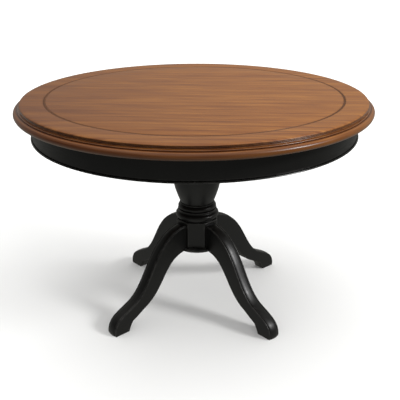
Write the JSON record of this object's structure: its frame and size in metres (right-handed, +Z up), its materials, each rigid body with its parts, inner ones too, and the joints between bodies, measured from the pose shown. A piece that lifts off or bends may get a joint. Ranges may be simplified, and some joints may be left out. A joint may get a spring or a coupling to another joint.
{
  "type": "miniature pedestal dining table",
  "caption": "Round miniature pedestal dining table with an inlaid wooden top, a black apron, a turned column and splayed curved legs.",
  "frame": {"origin": "on the floor, on the axis of the column, under the centre of the top", "axes": "+Z up along the column; the legs stand on the diagonals, so +X and +Y look out between two legs"},
  "size_m": [0.097, 0.097, 0.0635],
  "materials": {
    "stained_wood": "satin lacquer over a brown stain, fine straight grain",
    "dark_inlay": "dark stringing under the same lacquer",
    "black_paint": "satin black paint on turned and sawn wood",
    "bare_wood": "unfinished, hidden under the top",
    "dowel_wood": "unfinished hardwood pin",
    "brass": "plain countersunk screw"
  },
  "bodies": {
    "root": {"top_board": "stained_wood", "inlay_ring": "dark_inlay", "edge_moulding": "stained_wood", "apron_hoop": "black_paint", "apron_bead": "black_paint", "bearer_long": "bare_wood", "bearer_cross": "bare_wood", "mounting_plate": "bare_wood", "plate_screw_1": "brass", "plate_screw_2": "brass", "plate_screw_3": "brass", "plate_screw_4": "brass", "glue_block_1": "bare_wood", "glue_block_2": "bare_wood", "glue_block_3": "bare_wood", "glue_block_4": "bare_wood", "glue_block_5": "bare_wood", "glue_block_6": "bare_wood", "glue_block_7": "bare_wood", "glue_block_8": "bare_wood", "column": "black_paint", "leg_hub": "black_paint", "hub_cap": "black_paint", "cap_screw": "brass", "leg_1": "black_paint", "leg_1_dowel_1": "dowel_wood", "leg_1_dowel_2": "dowel_wood", "leg_2": "black_paint", "leg_2_dowel_1": "dowel_wood", "leg_2_dowel_2": "dowel_wood", "leg_3": "black_paint", "leg_3_dowel_1": "dowel_wood", "leg_3_dowel_2": "dowel_wood", "leg_4": "black_paint", "leg_4_dowel_1": "dowel_wood", "leg_4_dowel_2": "dowel_wood"}
  },
  "joints": []
}
